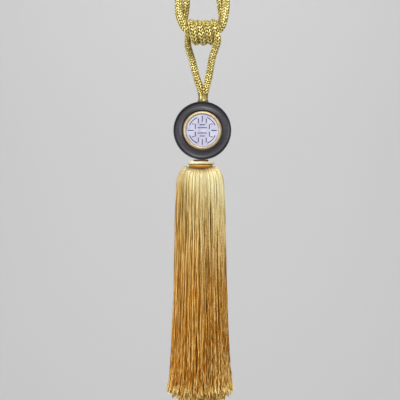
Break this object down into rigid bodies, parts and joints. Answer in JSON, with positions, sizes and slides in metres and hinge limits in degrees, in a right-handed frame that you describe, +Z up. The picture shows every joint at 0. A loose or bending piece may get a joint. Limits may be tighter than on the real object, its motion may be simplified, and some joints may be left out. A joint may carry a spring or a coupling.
{
  "type": "curtain tieback tassel",
  "caption": "Braided cord ring with a wound knot, a turned disc with a fretwork medallion and a long silky tassel, which ties back a curtain.",
  "frame": {"origin": "the point of the cord ring that rests on the hook, under the inner cord's top bend", "axes": "+Z up along the hanging tassel, +X to the right seen from the front, the disc's medallion faces -Y"},
  "size_m": [0.0643, 0.0644, 0.4361],
  "materials": {
    "gold_braid": "braided rayon cord with a metallic gold sheen",
    "satin_gold": "satin pale gold plating",
    "black_wood": "turned wood under satin black lacquer",
    "pale_fret": "pale lavender white moulded fretwork, low gloss",
    "amber_thread": "wound amber thread",
    "silk_strands": "silky rayon threads, pale at the head and amber towards the cut ends"
  },
  "bodies": {
    "root": {"loop_cord_outer": "gold_braid", "loop_cord_inner": "gold_braid", "tassel_cord": "gold_braid", "neck_ferrule": "satin_gold", "disc": "black_wood", "medallion_rim": "satin_gold", "medallion": "pale_fret", "disc_foot": "black_wood", "skirt_cap": "satin_gold", "skirt_binding": "amber_thread", "skirt": "silk_strands"}
  },
  "joints": []
}
